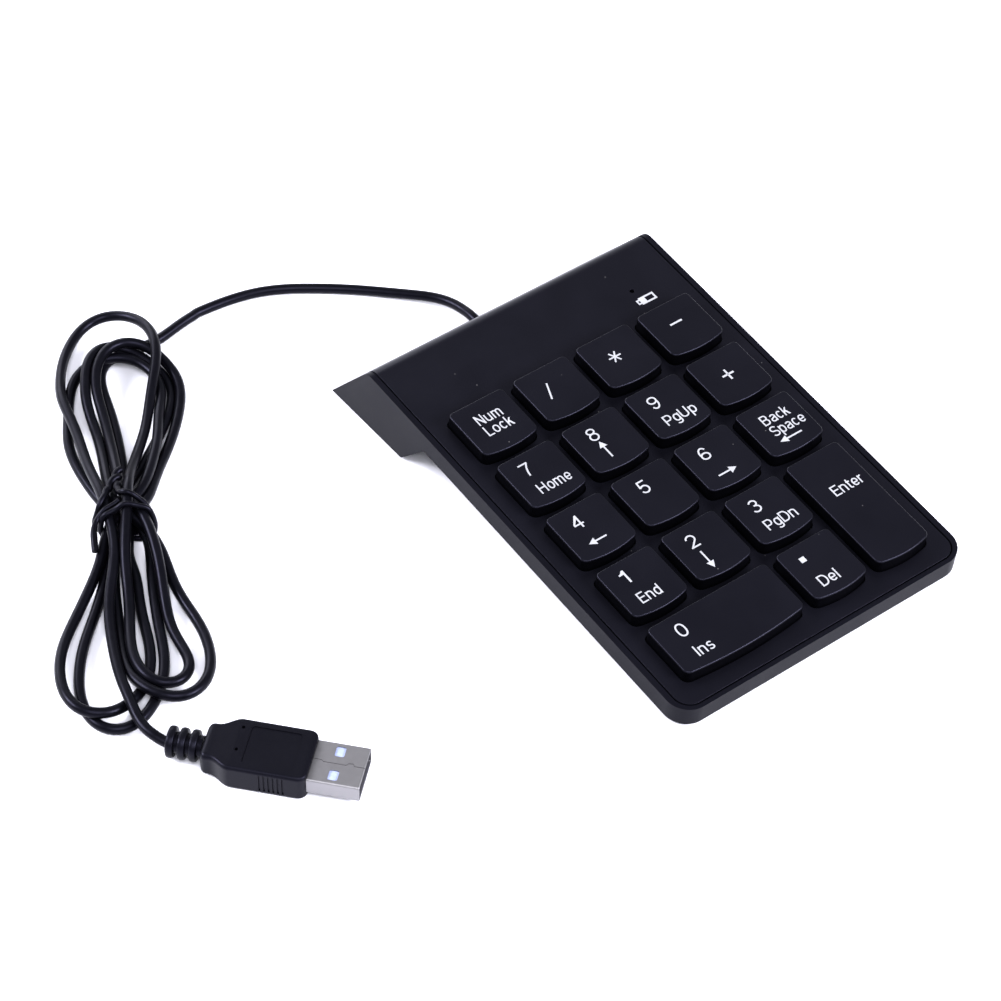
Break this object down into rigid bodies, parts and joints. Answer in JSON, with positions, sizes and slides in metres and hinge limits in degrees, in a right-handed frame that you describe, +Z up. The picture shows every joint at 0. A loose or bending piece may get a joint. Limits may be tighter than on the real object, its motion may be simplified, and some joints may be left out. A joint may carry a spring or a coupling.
{
  "type": "numeric keypad",
  "caption": "Wired low-profile numeric keypad: a wedge-shaped case with a rear foot, sprung keys with white legends, and a tied lead with a rectangular USB plug.",
  "frame": {"origin": "middle of the keypad's footprint, without its lead, on the surface it stands on", "axes": "+X to the right of the keys, +Y towards the rear where the lead leaves, +Z up"},
  "size_m": [0.193, 0.1892, 0.0195],
  "materials": {
    "case_plastic": "fine-grain moulded, near-black",
    "cover_plastic": "fine-grain moulded, near-black",
    "keycap_plastic": "fine-grain moulded, near-black, white legends",
    "inner_plastic": "plain moulded",
    "silicone": "translucent white",
    "film": "clear polyester film",
    "plate_steel": "pressed sheet",
    "wire_steel": "drawn wire",
    "board_green": "solder mask",
    "chip_black": "moulded package",
    "component_tan": "mixed small parts",
    "lamp_white": "unlit lamp",
    "clear_plastic": "smoked clear",
    "connector_white": "natural moulded",
    "screw_steel": "zinc plated",
    "screw_black": "black plated",
    "foot_rubber": "matte",
    "cord_rubber": "satin black jacket",
    "wire_red": "insulated strands",
    "tie_black": "plastic covered wire",
    "plug_plastic": "satin moulded, near-black",
    "shell_nickel": "satin nickel plate",
    "tongue_plastic": "bluish white moulded",
    "contact_gold": "gold plated"
  },
  "bodies": {
    "case": {"bottom_case": "case_plastic", "top_cover": "cover_plastic", "key_guide": "inner_plastic", "dome_sheet": "silicone", "membrane_upper": "film", "membrane_spacer": "film", "membrane_lower": "film", "support_plate": "plate_steel", "controller_board": "board_green", "controller_chip": "chip_black", "board_parts": "component_tan", "status_led": "lamp_white", "light_pipe": "clear_plastic", "tail_clamp": "inner_plastic", "cable_header": "connector_white", "board_screws": "screw_steel", "case_screws": "screw_black", "rubber_feet": "foot_rubber", "cable_grommet": "cord_rubber", "cable_inner": "cord_rubber", "header_wires": "wire_red", "cord_clamp": "inner_plastic", "cable_run": "cord_rubber", "cable_hank": "cord_rubber", "cable_tail": "cord_rubber", "twist_tie": "tie_black", "plug_relief": "cord_rubber", "plug_body": "plug_plastic", "plug_shell": "shell_nickel", "plug_tongue": "tongue_plastic", "plug_contacts": "contact_gold"},
    "key_num_lock": {"key_num_lock": "keycap_plastic"},
    "key_divide": {"key_divide": "keycap_plastic"},
    "key_multiply": {"key_multiply": "keycap_plastic"},
    "key_minus": {"key_minus": "keycap_plastic"},
    "key_7": {"key_7": "keycap_plastic"},
    "key_8": {"key_8": "keycap_plastic"},
    "key_9": {"key_9": "keycap_plastic"},
    "key_plus": {"key_plus": "keycap_plastic"},
    "key_4": {"key_4": "keycap_plastic"},
    "key_5": {"key_5": "keycap_plastic"},
    "key_6": {"key_6": "keycap_plastic"},
    "key_backspace": {"key_backspace": "keycap_plastic"},
    "key_1": {"key_1": "keycap_plastic"},
    "key_2": {"key_2": "keycap_plastic"},
    "key_3": {"key_3": "keycap_plastic"},
    "key_enter": {"key_enter": "keycap_plastic"},
    "key_0": {"key_0": "keycap_plastic"},
    "key_point": {"key_point": "keycap_plastic"},
    "stabiliser_zero": {"stabiliser_zero": "wire_steel"},
    "stabiliser_enter": {"stabiliser_enter": "wire_steel"}
  },
  "joints": [
    {"name": "key_num_lock_press", "type": "slide", "parent": "case", "child": "key_num_lock", "axis": [0, -0.1011, 0.9949], "range_m": [-0.002, 0], "stiffness_N_per_m": 180, "springref_m": 0.001, "deforming": ["dome_sheet"]},
    {"name": "key_divide_press", "type": "slide", "parent": "case", "child": "key_divide", "axis": [0, -0.1011, 0.9949], "range_m": [-0.002, 0], "stiffness_N_per_m": 180, "springref_m": 0.001, "deforming": ["dome_sheet"]},
    {"name": "key_multiply_press", "type": "slide", "parent": "case", "child": "key_multiply", "axis": [0, -0.1011, 0.9949], "range_m": [-0.002, 0], "stiffness_N_per_m": 180, "springref_m": 0.001, "deforming": ["dome_sheet"]},
    {"name": "key_minus_press", "type": "slide", "parent": "case", "child": "key_minus", "axis": [0, -0.1011, 0.9949], "range_m": [-0.002, 0], "stiffness_N_per_m": 180, "springref_m": 0.001, "deforming": ["dome_sheet"]},
    {"name": "key_7_press", "type": "slide", "parent": "case", "child": "key_7", "axis": [0, -0.1011, 0.9949], "range_m": [-0.002, 0], "stiffness_N_per_m": 180, "springref_m": 0.001, "deforming": ["dome_sheet"]},
    {"name": "key_8_press", "type": "slide", "parent": "case", "child": "key_8", "axis": [0, -0.1011, 0.9949], "range_m": [-0.002, 0], "stiffness_N_per_m": 180, "springref_m": 0.001, "deforming": ["dome_sheet"]},
    {"name": "key_9_press", "type": "slide", "parent": "case", "child": "key_9", "axis": [0, -0.1011, 0.9949], "range_m": [-0.002, 0], "stiffness_N_per_m": 180, "springref_m": 0.001, "deforming": ["dome_sheet"]},
    {"name": "key_plus_press", "type": "slide", "parent": "case", "child": "key_plus", "axis": [0, -0.1011, 0.9949], "range_m": [-0.002, 0], "stiffness_N_per_m": 180, "springref_m": 0.001, "deforming": ["dome_sheet"]},
    {"name": "key_4_press", "type": "slide", "parent": "case", "child": "key_4", "axis": [0, -0.1011, 0.9949], "range_m": [-0.002, 0], "stiffness_N_per_m": 180, "springref_m": 0.001, "deforming": ["dome_sheet"]},
    {"name": "key_5_press", "type": "slide", "parent": "case", "child": "key_5", "axis": [0, -0.1011, 0.9949], "range_m": [-0.002, 0], "stiffness_N_per_m": 180, "springref_m": 0.001, "deforming": ["dome_sheet"]},
    {"name": "key_6_press", "type": "slide", "parent": "case", "child": "key_6", "axis": [0, -0.1011, 0.9949], "range_m": [-0.002, 0], "stiffness_N_per_m": 180, "springref_m": 0.001, "deforming": ["dome_sheet"]},
    {"name": "key_backspace_press", "type": "slide", "parent": "case", "child": "key_backspace", "axis": [0, -0.1011, 0.9949], "range_m": [-0.002, 0], "stiffness_N_per_m": 180, "springref_m": 0.001, "deforming": ["dome_sheet"]},
    {"name": "key_1_press", "type": "slide", "parent": "case", "child": "key_1", "axis": [0, -0.1011, 0.9949], "range_m": [-0.002, 0], "stiffness_N_per_m": 180, "springref_m": 0.001, "deforming": ["dome_sheet"]},
    {"name": "key_2_press", "type": "slide", "parent": "case", "child": "key_2", "axis": [0, -0.1011, 0.9949], "range_m": [-0.002, 0], "stiffness_N_per_m": 180, "springref_m": 0.001, "deforming": ["dome_sheet"]},
    {"name": "key_3_press", "type": "slide", "parent": "case", "child": "key_3", "axis": [0, -0.1011, 0.9949], "range_m": [-0.002, 0], "stiffness_N_per_m": 180, "springref_m": 0.001, "deforming": ["dome_sheet"]},
    {"name": "key_enter_press", "type": "slide", "parent": "case", "child": "key_enter", "axis": [0, -0.1011, 0.9949], "range_m": [-0.002, 0], "stiffness_N_per_m": 180, "springref_m": 0.001, "deforming": ["dome_sheet"]},
    {"name": "key_0_press", "type": "slide", "parent": "case", "child": "key_0", "axis": [0, -0.1011, 0.9949], "range_m": [-0.002, 0], "stiffness_N_per_m": 180, "springref_m": 0.001, "deforming": ["dome_sheet"]},
    {"name": "key_point_press", "type": "slide", "parent": "case", "child": "key_point", "axis": [0, -0.1011, 0.9949], "range_m": [-0.002, 0], "stiffness_N_per_m": 180, "springref_m": 0.001, "deforming": ["dome_sheet"]},
    {"name": "stabiliser_zero_swing", "type": "hinge", "parent": "case", "child": "stabiliser_zero", "pos_m": [-0.019, -0.05535, 0.00657], "axis": [1, 0, 0], "range_deg": [-16.31, 0]},
    {"name": "stabiliser_enter_swing", "type": "hinge", "parent": "case", "child": "stabiliser_enter", "pos_m": [0.0269, -0.04431, 0.00769], "axis": [0, -0.9949, -0.1011], "range_deg": [-16.31, 0]}
  ],
  "couplings": [
    {"joint": "stabiliser_zero_swing", "follows": "key_0_press", "rad_per_m": 141.9},
    {"joint": "stabiliser_enter_swing", "follows": "key_enter_press", "rad_per_m": 141.9}
  ]
}
